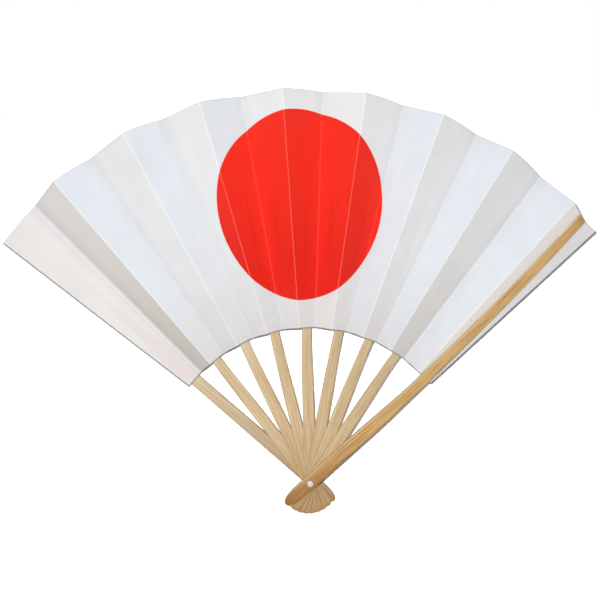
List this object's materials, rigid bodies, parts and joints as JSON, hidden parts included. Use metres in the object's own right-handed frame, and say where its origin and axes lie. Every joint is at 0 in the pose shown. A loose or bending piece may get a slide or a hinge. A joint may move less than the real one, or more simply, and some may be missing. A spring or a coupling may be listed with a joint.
{
  "type": "folding fan",
  "caption": "Pleated paper folding fan with a red disc, on slender bamboo ribs between two guards that turn on one rivet; shown open.",
  "frame": {"origin": "centre of the rivet's flat rear face, on its axis", "axes": "+Z along the rivet from its rear face to its front head, so the fan's front faces up; +Y from the rivet up the middle of the open leaf; +X to the right as seen from the front"},
  "size_m": [0.4049, 0.2878, 0.0379],
  "materials": {
    "bamboo": "smooth planed bamboo, fine lengthwise grain",
    "bamboo_skin": "honey-coloured bamboo skin, satin",
    "paper": "matt white paper, printed with one red disc",
    "rivet_plastic": "white, slightly glossy"
  },
  "bodies": {
    "rear_guard": {"rear_guard": "bamboo", "rivet_pin": "rivet_plastic", "rivet_cap": "rivet_plastic", "leaf_01": "paper"},
    "rib_1": {"rib_1": "bamboo", "leaf_03": "paper"},
    "rib_2": {"rib_2": "bamboo", "leaf_05": "paper"},
    "rib_3": {"rib_3": "bamboo", "leaf_07": "paper"},
    "rib_4": {"rib_4": "bamboo", "leaf_09": "paper"},
    "rib_5": {"rib_5": "bamboo", "leaf_11": "paper"},
    "rib_6": {"rib_6": "bamboo", "leaf_13": "paper"},
    "rib_7": {"rib_7": "bamboo", "leaf_15": "paper"},
    "front_guard": {"front_guard": "bamboo_skin", "leaf_17": "paper"},
    "pleat_1": {"leaf_02": "paper"},
    "pleat_2": {"leaf_04": "paper"},
    "pleat_3": {"leaf_06": "paper"},
    "pleat_4": {"leaf_08": "paper"},
    "pleat_5": {"leaf_10": "paper"},
    "pleat_6": {"leaf_12": "paper"},
    "pleat_7": {"leaf_14": "paper"},
    "pleat_8": {"leaf_16": "paper"}
  },
  "joints": [
    {"name": "rib_1_pivot", "type": "hinge", "parent": "rear_guard", "child": "rib_1", "pos_m": [0, 0, 0], "axis": [0, 0, 1], "range_deg": [0, 11.4]},
    {"name": "rib_2_pivot", "type": "hinge", "parent": "rib_1", "child": "rib_2", "pos_m": [0, 0, 0], "axis": [0, 0, 1], "range_deg": [0, 12.2]},
    {"name": "rib_3_pivot", "type": "hinge", "parent": "rib_2", "child": "rib_3", "pos_m": [0, 0, 0], "axis": [0, 0, 1], "range_deg": [0, 11.9]},
    {"name": "rib_4_pivot", "type": "hinge", "parent": "rib_3", "child": "rib_4", "pos_m": [0, 0, 0], "axis": [0, 0, 1], "range_deg": [0, 12.1]},
    {"name": "rib_5_pivot", "type": "hinge", "parent": "rib_4", "child": "rib_5", "pos_m": [0, 0, 0], "axis": [0, 0, 1], "range_deg": [0, 12.05]},
    {"name": "rib_6_pivot", "type": "hinge", "parent": "rib_5", "child": "rib_6", "pos_m": [0, 0, 0], "axis": [0, 0, 1], "range_deg": [0, 11.65]},
    {"name": "rib_7_pivot", "type": "hinge", "parent": "rib_6", "child": "rib_7", "pos_m": [0, 0, 0], "axis": [0, 0, 1], "range_deg": [0, 11.35]},
    {"name": "front_guard_pivot", "type": "hinge", "parent": "rib_7", "child": "front_guard", "pos_m": [0, 0, 0], "axis": [0, 0, 1], "range_deg": [0, 11.8]},
    {"name": "pleat_1_crease", "type": "hinge", "parent": "rear_guard", "child": "pleat_1", "pos_m": [0, 0, 0.00392], "axis": [0.7069, -0.7073, 0], "range_deg": [0, 98.7], "deforming": ["leaf_02"]},
    {"name": "pleat_2_crease", "type": "hinge", "parent": "rib_1", "child": "pleat_2", "pos_m": [0, 0, 0.00462], "axis": [0.5646, -0.8254, 0], "range_deg": [0, 99.7], "deforming": ["leaf_04"]},
    {"name": "pleat_3_crease", "type": "hinge", "parent": "rib_2", "child": "pleat_3", "pos_m": [0, 0, 0.00643], "axis": [0.3774, -0.926, 0], "range_deg": [0, 98.4], "deforming": ["leaf_06"]},
    {"name": "pleat_4_crease", "type": "hinge", "parent": "rib_3", "child": "pleat_4", "pos_m": [0, 0, 0.00822], "axis": [0.1784, -0.984, 0], "range_deg": [0, 99.3], "deforming": ["leaf_08"]},
    {"name": "pleat_5_crease", "type": "hinge", "parent": "rib_4", "child": "pleat_5", "pos_m": [0, 0, 0.01002], "axis": [-0.0318, -0.9995, 0], "range_deg": [0, 99.1], "deforming": ["leaf_10"]},
    {"name": "pleat_6_crease", "type": "hinge", "parent": "rib_5", "child": "pleat_6", "pos_m": [0, 0, 0.01183], "axis": [-0.2398, -0.9708, 0], "range_deg": [0, 97.2], "deforming": ["leaf_12"]},
    {"name": "pleat_7_crease", "type": "hinge", "parent": "rib_6", "child": "pleat_7", "pos_m": [0, 0, 0.01362], "axis": [-0.4309, -0.9024, 0], "range_deg": [0, 95.7], "deforming": ["leaf_14"]},
    {"name": "pleat_8_crease", "type": "hinge", "parent": "rib_7", "child": "pleat_8", "pos_m": [0, 0, 0.01542], "axis": [-0.6001, -0.7999, 0], "range_deg": [0, 97.9], "deforming": ["leaf_16"]}
  ],
  "couplings": [
    {"joint": "rib_2_pivot", "follows": "rib_1_pivot", "ratio": 1.0701},
    {"joint": "rib_3_pivot", "follows": "rib_1_pivot", "ratio": 1.0438},
    {"joint": "rib_4_pivot", "follows": "rib_1_pivot", "ratio": 1.0614},
    {"joint": "rib_5_pivot", "follows": "rib_1_pivot", "ratio": 1.057},
    {"joint": "rib_6_pivot", "follows": "rib_1_pivot", "ratio": 1.0219},
    {"joint": "rib_7_pivot", "follows": "rib_1_pivot", "ratio": 0.9956},
    {"joint": "front_guard_pivot", "follows": "rib_1_pivot", "ratio": 1.035},
    {"joint": "pleat_1_crease", "follows": "rib_1_pivot", "ratio": 8.6578},
    {"joint": "pleat_2_crease", "follows": "rib_1_pivot", "ratio": 8.7456},
    {"joint": "pleat_3_crease", "follows": "rib_1_pivot", "ratio": 8.6315},
    {"joint": "pleat_4_crease", "follows": "rib_1_pivot", "ratio": 8.7105},
    {"joint": "pleat_5_crease", "follows": "rib_1_pivot", "ratio": 8.6929},
    {"joint": "pleat_6_crease", "follows": "rib_1_pivot", "ratio": 8.5263},
    {"joint": "pleat_7_crease", "follows": "rib_1_pivot", "ratio": 8.3947},
    {"joint": "pleat_8_crease", "follows": "rib_1_pivot", "ratio": 8.5877}
  ]
}
